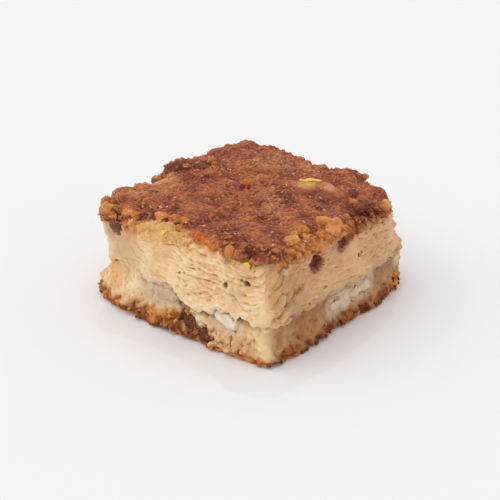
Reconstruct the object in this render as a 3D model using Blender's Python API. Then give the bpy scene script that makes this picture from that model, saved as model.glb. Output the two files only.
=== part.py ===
"""A square of bread pudding, cut from a tray: two layers with raisins and fruit set in their sides.

The upper layer is a dense custard crumb under a baked crust, and the lower one is coarse soaked
bread on a browned foot. The raisins and the pale fruit sit in pockets cut in the layers. The
square stands on the floor at z = 0, with the middle of its foot at the origin, and its two best
sides face -Y (the front) and +X (the right).
"""

import math

import bmesh
import bpy
from mathutils import Euler, Vector, noise

MM = 0.001

# Driving dimensions of the whole square.
FOOT_X = 86.0 * MM
FOOT_Y = 90.0 * MM
HEIGHT = 34.0 * MM
TOP_SHARE = 0.92  # the top's width over the foot's
FOOT_SQUARENESS = 6.0  # power of the rounded-square plan at the foot and along the walls
WALL_SQUARENESS = 8.0
NEAR_SQUARENESS = 6.0  # added to the power at the near corner, which is crisper

# How the baked top departs from level, measured at its edges.
TOP_TILT_X = -1.2 * MM
TOP_TILT_Y = -0.5 * MM
TOP_TWIST = -2.7 * MM
TOP_DOME = 1.3 * MM
TOP_WAVE = 0.7 * MM
TOP_NUBS = 0.45 * MM

# The seam between the layers, and how far the upper one overhangs it.
SEAM_HEIGHT = 13.0 * MM
SEAM_FALL_X = -0.6 * MM
SEAM_WAVE = 0.7 * MM
RIDGE_LENGTH = 24.0 * MM
LEDGE = 1.0 * MM
GAP = 0.3 * MM
POCKET_GAP = 0.4 * MM

# The side walls.
NEAR_CORNER_OUT = 0.7 * MM
LEFT_CORNER_IN = 3.2 * MM
RIGHT_CORNER_IN = 3.6 * MM
WAIST = 2.6 * MM
BELLY = 1.3 * MM
LIP = 0.7 * MM
RIM_DROP = 0.7 * MM
FOOT_FLARE = 1.1 * MM
FOOT_LIFT = 0.9 * MM
WALL_WAVE = 0.55 * MM
WALL_NUBS = 0.4 * MM

# The grid each layer is shaped from.
CELLS_ACROSS = 22
CUSTARD_ROWS = (0.14, 0.30, 0.46, 0.60, 0.72, 0.83, 0.92)
BASE_ROWS = (0.12, 0.32, 0.60, 0.85)

CRUST_BROWN = (0.36, 0.13, 0.045)
CUSTARD_CREAM = (0.72, 0.50, 0.27)
BREAD_TAN = (0.58, 0.36, 0.17)
RAISIN_BROWN = (0.055, 0.022, 0.020)
FRUIT_WHITE = (0.76, 0.68, 0.55)

# Raisins: name, centre, size along its own X, Y and Z, and its turn in degrees. All in millimetres.
RAISINS = (
    ("raisin_corner", (-26.4, -39.4, 30.0), (7.4, 6.4, 7.6), (0, 25, 10)),
    ("raisin_side", (38.4, -16.0, 26.6), (5.6, 7.2, 7.2), (20, 0, 5)),
    ("raisin_under_crust", (38.8, -1.8, 28.6), (4.6, 6.0, 3.8), (25, 0, 0)),
    ("raisin_rim_long", (-37.4, -0.6, 36.0), (6.4, 12.0, 5.6), (4, 0, 6)),
    ("raisin_rim_short", (-29.6, 7.2, 35.7), (7.4, 5.8, 4.4), (0, 6, 30)),
    ("raisin_foot_left", (9.2, -42.6, 6.0), (7.2, 5.6, 5.4), (0, 38, 0)),
    ("raisin_foot_right", (17.0, -43.0, 3.3), (8.4, 5.8, 4.6), (0, 14, 8)),
)

# Pale fruit pieces, given in the same way.
FRUIT = (
    ("fruit_front", (25.2, -41.8, 12.2), (10.5, 6.6, 5.6), (0, 5, 0)),
    ("fruit_front_left", (-1.8, -41.8, 12.6), (12.5, 5.6, 4.0), (0, -4, 0)),
    ("fruit_right_near", (40.2, -7.0, 9.2), (5.6, 9.5, 3.4), (10, 0, 0)),
    ("fruit_right_far", (40.2, 6.0, 9.8), (5.6, 13.0, 3.6), (7, 0, 0)),
)

# The crack that opens in the lower layer above the left foot raisin: centre and size.
CLEFT_CENTRE = Vector((7.6, -44.6, 10.2)) * MM
CLEFT_SIZE = Vector((2.0, 7.0, 7.6)) * MM


def smooth_step(value, low, high):
    """0 below low, 1 above high, and smooth between them."""
    share = min(1.0, max(0.0, (value - low) / (high - low)))
    return share * share * (3 - 2 * share)


def hill(x, y, centre_mm, radius_mm):
    """A round hill of height 1 at centre_mm."""
    distance = math.hypot(x - centre_mm[0] * MM, y - centre_mm[1] * MM)
    return math.exp(-((distance / (radius_mm * MM)) ** 2))


def ridge(x, y, centre_mm, radius_mm):
    """A ridge of height 1 that crosses the front wall at centre_mm and fades out behind it."""
    across = (x - centre_mm * MM) / (radius_mm * MM)
    behind = (y + FOOT_Y / 2) / RIDGE_LENGTH
    return math.exp(-(across**2) - behind**2)


def ripple(x, y, z, wavelength_mm):
    """Smooth noise of about -1 to 1 that varies over the wavelength."""
    return 2 * noise.noise(Vector((x, y, z)) / (wavelength_mm * MM))


def seam_height(x, y):
    """Height of the surface where the layers meet: it swells in three places along the front."""
    across = x / (FOOT_X / 2)
    swell = 4.0 * ridge(x, y, -21, 9) + 3.8 * ridge(x, y, 1.5, 6) + 3.0 * ridge(x, y, 30, 7)
    return SEAM_HEIGHT + SEAM_FALL_X * across + swell * MM + SEAM_WAVE * ripple(x, y, 0, 19)


def top_height(x, y):
    """Height of the baked top: a twisted plane with a slow wave and a coarse grain."""
    u = x / (TOP_SHARE * FOOT_X / 2)
    v = y / (TOP_SHARE * FOOT_Y / 2)
    plane = HEIGHT + TOP_TILT_X * u + TOP_TILT_Y * v + TOP_TWIST * u * v
    plane += (2.4 * hill(x, y, (15, 41), 13) + 1.8 * hill(x, y, (-36, -34), 14)) * MM
    plane += TOP_DOME * (1 - u * u * v * v)
    return plane + TOP_WAVE * ripple(x, y, 0.1, 24) + TOP_NUBS * ripple(x, y, 0.2, 6.5)


def plan_point(u, v, power):
    """Place in the foot's plan for u and v of -1 to 1: the square drawn in to a rounded square."""
    power += NEAR_SQUARENESS * max(0, -u * v) ** 2
    reach = (abs(u) ** power + abs(v) ** power) ** (1 / power)
    share = max(abs(u), abs(v)) / reach if reach else 1
    return u * share * FOOT_X / 2, v * share * FOOT_Y / 2


def outward(u, v):
    """Which way the wall faces at u, v, or a zero vector away from the walls."""
    facing = Vector((round(u) if abs(u) > 0.999 else 0, round(v) if abs(v) > 0.999 else 0, 0))
    return facing.normalized()


def leaned(x, y, z):
    """The plan point at height z: the sides taper, and three of the corners are out of square."""
    rise = z / HEIGHT
    share = 1 - (1 - TOP_SHARE) * rise
    bow = math.sin(math.pi * min(1.0, max(0.0, rise))) ** 2
    near = smooth_step(x / FOOT_X - y / FOOT_Y, 0.72, 0.95)
    left = smooth_step(-(x / FOOT_X + y / FOOT_Y), 0.55, 1.0)
    right = smooth_step(x / FOOT_X + y / FOOT_Y, 0.6, 0.95)
    shift = NEAR_CORNER_OUT * near + (BELLY * bow - RIGHT_CORNER_IN) * right
    shift -= (WAIST * bow + LEFT_CORNER_IN * (1 - smooth_step(rise, 0.3, 0.8))) * left
    reach = Vector((x, y, 0))
    reach = reach * share + reach.normalized() * shift
    return reach.x, reach.y


def custard_point(u, v, w):
    """Place of a point of the upper layer: w is 0 on the seam and 1 on the crust."""
    x, y = plan_point(u, v, WALL_SQUARENESS)
    low = seam_height(x, y) + GAP
    z = low + w * (top_height(x * TOP_SHARE, y * TOP_SHARE) - low)
    x, y = leaned(x, y, z)
    facing = outward(u, v)
    if facing.length:
        ledge = LEDGE * (1 - smooth_step(w, 0.0, 0.5))
        lip = LIP * smooth_step(w, 0.75, 0.92) * (1 + ripple(x, y, z, 7))
        relief = WALL_WAVE * ripple(x, y, z, 13) + ledge + lip
        x, y = (Vector((x, y, 0)) + facing * relief)[:2]
        if w > 0.999:
            x, y = (Vector((x, y, 0)) - facing * (RIM_DROP + LIP))[:2]
            z -= RIM_DROP
    return x, y, z


def base_point(u, v, w):
    """Place of a point of the lower layer: w is 0 on the floor and 1 on the seam."""
    x, y = plan_point(u, v, FOOT_SQUARENESS + (WALL_SQUARENESS - FOOT_SQUARENESS) * w)
    z = w * seam_height(x, y)
    x, y = leaned(x, y, z)
    stray = WALL_WAVE * (1 - w)
    x, y = x + stray * ripple(y, x, 0.4, 12), y + stray * ripple(x, y, 0.5, 12)
    facing = outward(u, v)
    if facing.length:
        flare = FOOT_FLARE * (1 - smooth_step(w, 0.05, 0.4))
        relief = WALL_WAVE * ripple(x, y, z, 11) + WALL_NUBS * ripple(x, y, z, 4.5) + flare
        x, y = (Vector((x, y, 0)) + facing * relief)[:2]
        if w < 0.001:
            x, y = (Vector((x, y, 0)) - facing * FOOT_LIFT)[:2]
            z = FOOT_LIFT * (0.6 + 0.4 * ripple(x, y, 0.3, 9))
    return x, y, z


def material(name, colour, roughness):
    """A Principled material of one colour."""
    made = bpy.data.materials.new(name)
    made.use_nodes = True
    shader = made.node_tree.nodes["Principled BSDF"]
    shader.inputs["Base Color"].default_value = (*colour, 1)
    shader.inputs["Roughness"].default_value = roughness
    shader.inputs["Metallic"].default_value = 0.0
    return made


def add_object(name, bm, finish, parent):
    """Makes the bmesh an object of that name, shaded smooth, under the parent empty."""
    bmesh.ops.recalc_face_normals(bm, faces=bm.faces)
    mesh = bpy.data.meshes.new(name)
    bm.to_mesh(mesh)
    bm.free()
    mesh.shade_smooth()
    mesh.set_sharp_from_angle(angle=math.radians(50))
    mesh.materials.append(finish)
    made = bpy.data.objects.new(name, mesh)
    bpy.context.collection.objects.link(made)
    made.parent = parent
    return made


def add_layer(name, rows, point_of, finish, parent):
    """A closed layer: a cube cut into a grid of cells, each corner then put where point_of says."""
    bm = bmesh.new()
    bmesh.ops.create_cube(bm, size=2)
    across = [2 * cut / CELLS_ACROSS - 1 for cut in range(1, CELLS_ACROSS)]
    up = [2 * row - 1 for row in rows]
    for axis, cuts in ((0, across), (1, across), (2, up)):
        for cut in cuts:
            middle = Vector((0, 0, 0))
            middle[axis] = cut
            normal = Vector((0, 0, 0))
            normal[axis] = 1
            whole = bm.verts[:] + bm.edges[:] + bm.faces[:]
            bmesh.ops.bisect_plane(bm, geom=whole, plane_co=middle, plane_no=normal)
    for corner in bm.verts:
        u, v, w = corner.co
        corner.co = point_of(u, v, (w + 1) / 2)
    return add_object(name, bm, finish, parent)


def ball(subdivisions):
    """A ball one unit across, for the raisins."""
    bm = bmesh.new()
    bmesh.ops.create_icosphere(bm, subdivisions=subdivisions, radius=0.5)
    return bm


def rounded_block(segments):
    """A cube one unit across with well-rounded edges, for the soft fruit."""
    bm = bmesh.new()
    bmesh.ops.create_cube(bm, size=1)
    bmesh.ops.bevel(
        bm, geom=bm.edges[:], offset=0.28, segments=segments, profile=0.5, affect="EDGES"
    )
    return bm


def place(obj, centre_mm, size_mm, turn_deg):
    """Scales the unit shape to its size in its mesh, then turns and moves the object."""
    for corner in obj.data.vertices:
        corner.co = Vector(a * b * MM for a, b in zip(corner.co, size_mm))
    obj.rotation_euler = Euler(math.radians(angle) for angle in turn_deg)
    obj.location = Vector(centre_mm) * MM


def add_inclusion(row, bm, fold_scale, fold_depth, finish, parent):
    """A raisin or a fruit piece: its unit shape with folds drawn inwards, placed as its row says."""
    name, centre_mm, size_mm, turn_deg = row
    seed = Vector(centre_mm) * 0.37
    for corner in bm.verts:
        fold = abs(noise.noise(corner.co * fold_scale + seed))
        corner.co *= 1 - fold_depth * fold
    made = add_object(name, bm, finish, parent)
    place(made, centre_mm, size_mm, turn_deg)
    return made


def hide_helper(obj):
    """A cutter is only drawn as wire and never rendered."""
    obj.hide_render = True
    obj.display_type = "WIRE"


def cut_pocket(body, row, bm, parent):
    """Cuts a pocket of the row's unfolded shape, POCKET_GAP larger than it all round."""
    name, centre_mm, size_mm, turn_deg = row
    cutter = add_object(f"{name}_pocket_in_{body.name}", bm, body.data.materials[0], parent)
    pocket_mm = [size + 2 * POCKET_GAP / MM for size in size_mm]
    place(cutter, centre_mm, pocket_mm, turn_deg)
    hide_helper(cutter)
    subtract(body, cutter)


def cut_cleft(body, parent):
    """Opens the upright crack in the lower layer with a thin egg-shaped cutter."""
    bm = ball(2)
    bmesh.ops.scale(bm, vec=CLEFT_SIZE, verts=bm.verts)
    cutter = add_object("cleft", bm, body.data.materials[0], parent)
    cutter.location = CLEFT_CENTRE
    hide_helper(cutter)
    subtract(body, cutter)


def subtract(body, cutter):
    """Adds the Boolean that takes the cutter out of the body."""
    cut = body.modifiers.new(cutter.name, "BOOLEAN")
    cut.operation = "DIFFERENCE"
    cut.solver = "EXACT"
    cut.object = cutter


def box_of(obj):
    """Lowest and highest corner of an object's mesh in the scene."""
    corners = [obj.matrix_world @ vertex.co for vertex in obj.data.vertices]
    low = Vector(min(corner[axis] for corner in corners) for axis in range(3))
    high = Vector(max(corner[axis] for corner in corners) for axis in range(3))
    return low, high


def overlap(first, second):
    """True where the boxes of two objects meet."""
    (low_a, high_a), (low_b, high_b) = box_of(first), box_of(second)
    return all(low_a[i] < high_b[i] and low_b[i] < high_a[i] for i in range(3))


def centre_on_origin(pudding, pieces):
    """Moves the whole square so that its box stands centred on the origin."""
    boxes = [box_of(piece) for piece in pieces]
    for axis in (0, 1):
        low = min(box[0][axis] for box in boxes)
        high = max(box[1][axis] for box in boxes)
        pudding.location[axis] = -(low + high) / 2


def build():
    for old in list(bpy.data.objects):
        bpy.data.objects.remove(old)
    pudding = bpy.data.objects.new("pudding", None)
    bpy.context.collection.objects.link(pudding)

    custard_finish = material("custard_crumb", CUSTARD_CREAM, 0.6)
    bread_finish = material("soaked_bread", BREAD_TAN, 0.75)
    raisin_finish = material("raisin", RAISIN_BROWN, 0.35)
    fruit_finish = material("pale_fruit", FRUIT_WHITE, 0.4)
    crust_finish = material("baked_crust", CRUST_BROWN, 0.55)

    custard = add_layer("custard_layer", CUSTARD_ROWS, custard_point, custard_finish, pudding)
    custard.data.materials.append(crust_finish)
    for face in custard.data.polygons:
        face.material_index = int(face.center.z > 0.8 * HEIGHT and face.normal.z > 0.5)
    base = add_layer("bread_base", BASE_ROWS, base_point, bread_finish, pudding)

    raisins = [
        add_inclusion(row, ball(3), 5.5, 0.5, raisin_finish, pudding) for row in RAISINS
    ]
    fruit = [
        add_inclusion(row, rounded_block(2), 2.5, 0.3, fruit_finish, pudding) for row in FRUIT
    ]
    bpy.context.view_layer.update()
    for body in (custard, base):
        for row, raisin in zip(RAISINS, raisins):
            if overlap(body, raisin):
                cut_pocket(body, row, ball(2), pudding)
        for row, piece in zip(FRUIT, fruit):
            if overlap(body, piece):
                cut_pocket(body, row, rounded_block(2), pudding)
    cut_cleft(base, pudding)
    centre_on_origin(pudding, [custard, base, *raisins, *fruit])


build()
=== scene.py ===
"""A square of bread pudding, dressed for the table.

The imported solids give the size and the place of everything. Round them come the baked crust, the
flaky custard crumb, the coarse soaked bread, the browned crumbs of the foot, the raisins, the pale
fruit and the shreds of zest. Lengths inside the shaping functions are in millimetres.
"""

import random
from math import cos, exp, floor, hypot, radians, sin, tau

import bmesh
import bpy
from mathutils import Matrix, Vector, bvhtree, kdtree, noise


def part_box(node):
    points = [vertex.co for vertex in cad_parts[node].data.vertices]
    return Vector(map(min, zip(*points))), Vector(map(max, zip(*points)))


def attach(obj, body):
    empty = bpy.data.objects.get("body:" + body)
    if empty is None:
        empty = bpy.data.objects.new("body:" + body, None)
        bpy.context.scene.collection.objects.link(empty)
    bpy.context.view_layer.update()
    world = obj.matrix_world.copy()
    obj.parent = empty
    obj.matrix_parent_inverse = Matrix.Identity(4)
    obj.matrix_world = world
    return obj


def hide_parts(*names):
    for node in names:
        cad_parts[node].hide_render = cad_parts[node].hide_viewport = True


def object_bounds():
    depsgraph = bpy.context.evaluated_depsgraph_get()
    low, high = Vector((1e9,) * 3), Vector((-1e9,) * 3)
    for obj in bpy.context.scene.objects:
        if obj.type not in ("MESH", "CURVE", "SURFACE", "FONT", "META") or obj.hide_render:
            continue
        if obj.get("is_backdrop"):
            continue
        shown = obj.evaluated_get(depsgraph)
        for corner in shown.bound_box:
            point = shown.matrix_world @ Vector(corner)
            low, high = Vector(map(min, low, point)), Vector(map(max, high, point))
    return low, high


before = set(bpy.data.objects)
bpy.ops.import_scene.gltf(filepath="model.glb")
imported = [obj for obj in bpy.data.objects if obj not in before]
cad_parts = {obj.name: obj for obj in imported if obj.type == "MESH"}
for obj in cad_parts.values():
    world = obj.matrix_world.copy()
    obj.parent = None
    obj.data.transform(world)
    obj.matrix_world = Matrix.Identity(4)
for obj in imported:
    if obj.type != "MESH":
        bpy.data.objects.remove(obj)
packed_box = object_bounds()
MM = 0.001
scene = bpy.context.scene

# The table and the light: a plain pale table top, a bright even room, and one broad soft lamp that
# stands high on the left, so the front face is the bright one and the shadow falls to the right. A
# small weak lamp behind it gives the moist crust its glints.
TABLE_WIDTH = 8
TABLE_COLOUR = (0.885, 0.885, 0.892, 1)
ROOM_LIGHT = 0.825
LAMPS = (
    ("soft_lamp", 0.68, 60, Vector((-0.48, -0.63, 0.92))),
    ("glint_lamp", 0.17, 2, Vector((-0.35, 0.4, 0.9))),
)

bpy.ops.mesh.primitive_plane_add(size=TABLE_WIDTH, location=(0, 0, -0.02 * MM))
table = bpy.context.object
table.name = "table_top"
table_finish = bpy.data.materials.new("table_paper")
table_finish.use_nodes = True
paper = table_finish.node_tree.nodes["Principled BSDF"]
paper.inputs["Base Color"].default_value = TABLE_COLOUR
paper.inputs["Roughness"].default_value = 0.9
paper.inputs["Specular IOR Level"].default_value = 0.1
table.data.materials.append(table_finish)
table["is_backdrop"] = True

room = bpy.data.worlds.new("room")
room.use_nodes = True
walls = room.node_tree.nodes["Background"].inputs
walls["Color"].default_value = (1, 1, 1, 1)
walls["Strength"].default_value = ROOM_LIGHT
scene.world = room

for name, power, spread, source in LAMPS:
    bpy.ops.object.light_add(type="SUN", rotation=source.to_track_quat("Z", "Y").to_euler())
    lamp = bpy.context.object
    lamp.name = name
    lamp.data.energy = power
    lamp.data.angle = radians(spread)
scene.view_settings.view_transform = "Standard"

# The camera looks at the near corner from above, a little over a forearm away.
LOOK_AT = Vector((3.79, -5.81, 17)) * MM
CAMERA_DISTANCE = 374 * MM
CAMERA_TURN = radians(40.2)
CAMERA_TILT = radians(24.3)
CAMERA_LENS = 77.18

level = cos(CAMERA_TILT)
backwards = Vector((sin(CAMERA_TURN) * level, -cos(CAMERA_TURN) * level, sin(CAMERA_TILT)))
bpy.ops.object.camera_add(
    location=LOOK_AT + backwards * CAMERA_DISTANCE,
    rotation=backwards.to_track_quat("Z", "Y").to_euler(),
)
camera = bpy.context.object
camera.name = "camera"
camera.data.sensor_width = 36
camera.data.lens = CAMERA_LENS
camera.data.clip_start = 10 * MM
scene.camera = camera

# The block: both layers in one skin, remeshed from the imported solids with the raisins' pockets filled,
# because the baked custard closes on them. The lumps that stand out of its rim and its foot are
# melted into it. The crust, the custard and the bread are carved on this skin, and parted later.
BLOCK_GRAIN = 0.66
POCKET_FILL = 1.3
FILL_SHIFT = {
    "raisin_corner": (0, 2, 0), "raisin_side": (-1.5, 0, 0), "raisin_under_crust": (-0.9, 0, 0),
    "raisin_rim_long": (0.6, 0, -1.9), "raisin_rim_short": (0, 0, -1.6), "fruit_front": (0, 1.3, 0),
    "fruit_front_left": (0, 1.2, 0), "fruit_right_near": (-1.3, 0, 0), "fruit_right_far": (-1.3, 0, 0),
    "raisin_foot_left": (0, 1.5, 0), "raisin_foot_right": (0, 1.6, 0),
}


def pick(*objects):
    """Selects only these objects and makes the first one active."""
    bpy.ops.object.select_all(action="DESELECT")
    for thing in objects:
        thing.select_set(True)
    bpy.context.view_layer.objects.active = objects[0]


def placed(name, mesh):
    """A new object in the scene, with this mesh."""
    thing = bpy.data.objects.new(name, mesh)
    scene.collection.objects.link(thing)
    return thing


def keep(piece, name, values):
    """Stores one value for each vertex of the piece, for its finish to read."""
    piece.data.attributes.new(name, "FLOAT", "POINT").data.foreach_set("value", values)


def apply(piece, kind, **settings):
    """Adds a modifier of that kind to the piece, and applies it."""
    pick(piece)
    modifier = piece.modifiers.new(kind, kind)
    for key, value in settings.items():
        setattr(modifier, key, value)
    bpy.ops.object.modifier_apply(modifier=kind)


def copy_of(node, name):
    """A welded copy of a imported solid, as an object of its own."""
    copy = placed(name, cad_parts[node].data.copy())
    weld = bmesh.new()
    weld.from_mesh(copy.data)
    bmesh.ops.remove_doubles(weld, verts=weld.verts, dist=0.005 * MM)
    weld.to_mesh(copy.data)
    weld.free()
    return copy


def plug_for(filled):
    """A copy of an inclusion, swollen and set inwards, that fills its pocket."""
    plug = copy_of(filled, f"{filled}_plug")
    low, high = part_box(filled)
    middle = (low + high) / 2
    for corner in plug.data.vertices:
        corner.co = middle + (corner.co - middle) * POCKET_FILL + Vector(FILL_SHIFT[filled]) * MM
    return plug


def melt(parts, smoothing):
    """Melts these objects into one skin of even small faces, and rounds its edges."""
    pick(*parts)
    bpy.ops.object.join()
    apply(parts[0], "REMESH", mode="VOXEL", voxel_size=BLOCK_GRAIN * MM)
    apply(parts[0], "SMOOTH", iterations=smoothing)
    return parts[0]


def tree_of(thing):
    """What rays can be cast on, and nearest points found on."""
    return bvhtree.BVHTree.FromObject(thing, bpy.context.evaluated_depsgraph_get())


def points_tree(points):
    """What the nearest of these points can be found in."""
    tree = kdtree.KDTree(len(points))
    for index, point in enumerate(points):
        tree.insert(point, index)
    tree.balance()
    return tree


def ease(value, low, high):
    """0 below low, 1 above high, and a smooth rise between them; low may be the larger."""
    share = min(1, max(0, (value - low) / (high - low)))
    return share * share * (3 - 2 * share)


def swell(x, y, z, size):
    """Smooth hills and hollows of about -1 to 1, size apart."""
    return 2 * noise.noise((x / size, y / size, z / size))


def knobs(x, y, z, size, share=0.6):
    """Round knobs, 1 at their tops and 0 in the creases between them."""
    near = noise.voronoi((x / size, y / size, z / size))[0][0]
    return 1 - ease(near, 0, share)


def bump(x, y, over_x, over_y, wide):
    """A round hill of 1 over that place."""
    return exp(-((x - over_x) ** 2 + (y - over_y) ** 2) / wide**2)


inclusions = [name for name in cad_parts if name.startswith(("raisin", "fruit"))]
upper = [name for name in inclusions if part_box(name)[0].z > 20 * MM]
plain = melt([copy_of("custard_layer", "plain_dough")] + [plug_for(name) for name in upper], 14)
plain_tree = tree_of(plain)
DOWN = Vector((0, 0, -1))


def surface_at(x, y, start, aim):
    """Height at which a ray meets the upper layer, read a little inside its wall."""
    for pull in (0.93, 0.86, 0.78, 0.6):
        hit = plain_tree.ray_cast(Vector((x * pull, y * pull, start)) * MM, aim)[0]
        if hit:
            return hit.z / MM


def top_over(x, y):
    """Height of the baked top over x and y."""
    return surface_at(x, y, 60, DOWN)


def seam_under(x, y):
    """Height of the custard's underside over x and y."""
    return surface_at(x, y, 0, -DOWN)


bpy.ops.object.select_all(action="DESELECT")
bpy.ops.mesh.primitive_ico_sphere_add(subdivisions=2, radius=0.5)
ball = bpy.context.object


def strew(name, spots, knobbly):
    """Joins one bent copy of the ball for each spot: middle, size, flattening, turn and tone."""
    points, faces, tones = [], [], []
    corners = [vertex.co.copy() for vertex in ball.data.vertices]
    rings = [tuple(face.vertices) for face in ball.data.polygons]
    for middle, size, squash, turn, tone in spots:
        start = len(points)
        for corner in corners:
            bend = 1 + knobbly * swell(*(corner + middle), 0.55)
            bent = Vector((corner.x, corner.y * squash[0], corner.z * squash[1])) * bend
            points.append((middle + turn @ bent * size) * MM)
            tones.append(tone)
        faces.extend(tuple(start + index for index in ring) for ring in rings)
    mesh = bpy.data.meshes.new(name)
    mesh.from_pydata(points, [], faces)
    piece = placed(name, mesh)
    keep(piece, "tone", tones)
    pick(piece)
    bpy.ops.object.shade_smooth()
    return piece


def turned(luck):
    """A random turn."""
    axis = Vector([luck.gauss(0, 1) for _ in range(3)]).normalized()
    return (-DOWN).rotation_difference(axis).to_matrix()


# Place, width and tone of each lump of the rim: 0 is burnt, 0.5 orange-brown, 1 pale gold.
RIM_LUMPS = (
    (-31, -35.5, 34.9, 3.6, 0.45), (-29.6, -39.5, 33.9, 4, 0.85), (-34.8, -36.5, 33.2, 3.6, 0.55),
    (-25.4, -39.6, 33.6, 3.4, 0.4), (-21.7, -39.2, 34, 4, 0.92), (-18.2, -38.9, 33.6, 4.4, 0.72),
    (-15.6, -37.4, 34, 3.4, 0.12), (-12.4, -37.6, 33.2, 3, 0.22), (-9.4, -35.6, 34.2, 4.2, 0.97),
    (-5.4, -34.2, 34.3, 2.8, 0.8), (-1.4, -33.2, 34.4, 2.8, 0.75), (-20.4, -40.9, 31, 3, 0.8),
    (-16.4, -40.8, 31.2, 3.2, 0.7), (-26.6, -41, 30.9, 2.8, 0.62), (-38.2, -32.6, 33.6, 3.6, 0.5),
    (-39.2, -28.4, 33.8, 3.2, 0.35), (-34, -21, 35, 3.8, 0.75), (-37.4, -24, 34.4, 3, 0.6),
    (-6.8, 5, 36.7, 4.4, 0.45), (27, 23.3, 33.6, 2.8, 0.78), (29.6, -38.6, 35.6, 3.2, 0.15),
    (34.2, -37.4, 35.2, 3.6, 0.2), (24.4, -39.4, 35.2, 3.2, 0.22), (38.4, -34.4, 34.4, 3.2, 0.2),
    (38.2, -38.4, 33.6, 3, 0.28), (20.4, -36.4, 35.8, 3.4, 0.3), (34, -28.6, 35.4, 3.2, 0.28),
    (39, -30, 33.8, 2.8, 0.45), (36.8, -24.2, 34.7, 5, 0.93), (38.9, -22, 32.4, 3.8, 0.88),
    (34.6, -19.8, 35.2, 3.4, 0.66), (33.6, -14.8, 35.2, 4.2, 0.68), (37.4, -17.6, 34.2, 4.2, 0.86),
    (39.4, -14.6, 32.6, 3.2, 0.66), (36.6, -10.6, 34.6, 3.2, 0.32), (35.2, -5.9, 34.8, 4.2, 0.84),
    (38.6, -7.6, 33.2, 3.4, 0.8), (37.8, -2.9, 34, 3.8, 0.86), (39.2, -1, 32.2, 2.8, 0.45),
    (37.2, 3, 34, 3.2, 0.18), (36.2, 8, 33.6, 3, 0.22), (36.6, 13, 32.6, 3.2, 0.12),
    (35.8, 17.8, 31.9, 3.2, 0.08), (36, 22.4, 31.2, 2.8, 0.25), (36.4, 27, 30.4, 2.8, 0.66),
    (35.4, 31.4, 30, 3.8, 0.94), (-24, -39, 33.6, 2.8, 0.75), (-7.4, -37.8, 33.8, 3, 0.85),
    (-3.6, -37.2, 34.2, 2.6, 0.95), (0.6, -37.6, 34.4, 2.8, 0.7), (4.4, -38.8, 34.4, 2.6, 0.85),
    (7.6, -39.4, 34.6, 2.4, 0.6), (-12.6, -39.6, 32.6, 2.8, 0.9), (-18.4, -40.2, 32.4, 2.4, 0.95),
    (2.2, 38.8, 35, 4.2, 0.6), (-33.6, 1.8, 35.4, 3, 0.3), (-38.8, 7, 34.6, 3.2, 0.42),
    (-30, 12.2, 35.2, 3, 0.4),
)
SCATTERED = 190  # more lumps of the rim, at random
FOOT_LUMPS = 430
luck = random.Random(5)


def random_lump(luck, seat, size, squash, tone, spread):
    """One spot for strew, flattened, turned and toned at random."""
    bent = (luck.uniform(squash[0], 1), luck.uniform(squash[1], squash[2]))
    return seat, size, bent, turned(luck), min(1, max(0, luck.gauss(tone, spread)))


def random_lumps(spots, count, sizes, rise, tone_at):
    """Lumps on some of these spots, each nearly half sunk in the skin."""
    lumps = []
    for place, facing in luck.sample(spots, count):
        size = sizes[0] + sizes[1] * luck.random() ** 1.5
        seat = place + facing * rise * size
        lumps.append(random_lump(luck, seat, size, (0.75, 0.65, 0.9), tone_at(place), 0.18))
    return lumps


def rim_tone(place):
    """How pale the rim's lumps are: golden where the custard boiled over, dark where it burnt."""
    x, y, _ = place
    golden = 0.36 * bump(x, y, 40, -16, 13) + 0.3 * bump(x, y, -6, -38, 13)
    golden += 0.14 * bump(x, y, -37, -24, 12)
    return 0.42 + golden - 0.28 * bump(x, y, 38, 17, 13) - 0.2 * bump(x, y, 27, -40, 11)


rim_spots, foot_spots = [], []
for vertex in plain.data.vertices:
    x, y, z = place = vertex.co / MM
    free = abs(x + 1) > 18.1 or y > -30
    if free and max(abs(x) / 41.5, abs(y) / 43.5) > 0.94 and 0 < top_over(x, y) - z < 3.2:
        rim_spots.append((place, vertex.normal.copy()))
rim_lumps = random_lumps(rim_spots, SCATTERED, (1.5, 1.8), 0.04, rim_tone)
for *middle, wide, tone in RIM_LUMPS:
    spot, facing = plain_tree.find_nearest(Vector(middle) * MM)[:2]
    seat = spot / MM + facing * 0.04 * wide
    rim_lumps.append((seat, wide, (0.9, 0.8), turned(luck), tone))

base = copy_of("bread_base", "pudding_block")
bread_tree = tree_of(base)
while len(foot_spots) < FOOT_LUMPS:
    turn = luck.uniform(0, tau)
    height = 0.6 + 5.6 * luck.random() ** 1.2
    outside = Vector((80 * cos(turn), 80 * sin(turn), height)) * MM
    aim = Vector((luck.uniform(-35, 35), luck.uniform(-37, 37), height)) * MM
    hit, facing = bread_tree.ray_cast(outside, (aim - outside).normalized())[:2]
    if hit:
        foot_spots.append((hit / MM, facing))


def foot_tone(place):
    """How pale the foot's lumps are: golden at the near corner, browner on the right."""
    x, y, z = place
    golden = 0.44 * bump(x, y, 32, -45, 18)
    return 0.5 + golden + 0.14 * ease(x, 10, -20) - 0.06 * ease(x, 38, 42) + 0.05 * (z - 3)


foot_lumps = random_lumps(foot_spots, FOOT_LUMPS, (1.4, 2.2), -0.06, foot_tone)
foot_lumps.append((Vector((13.6, -43.4, 8.3)), 3.4, (0.9, 0.9), turned(luck), 1))
foot_lumps.append((Vector((9.2, -43, 9)), 3, (0.9, 0.9), turned(luck), 0.95))

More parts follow.
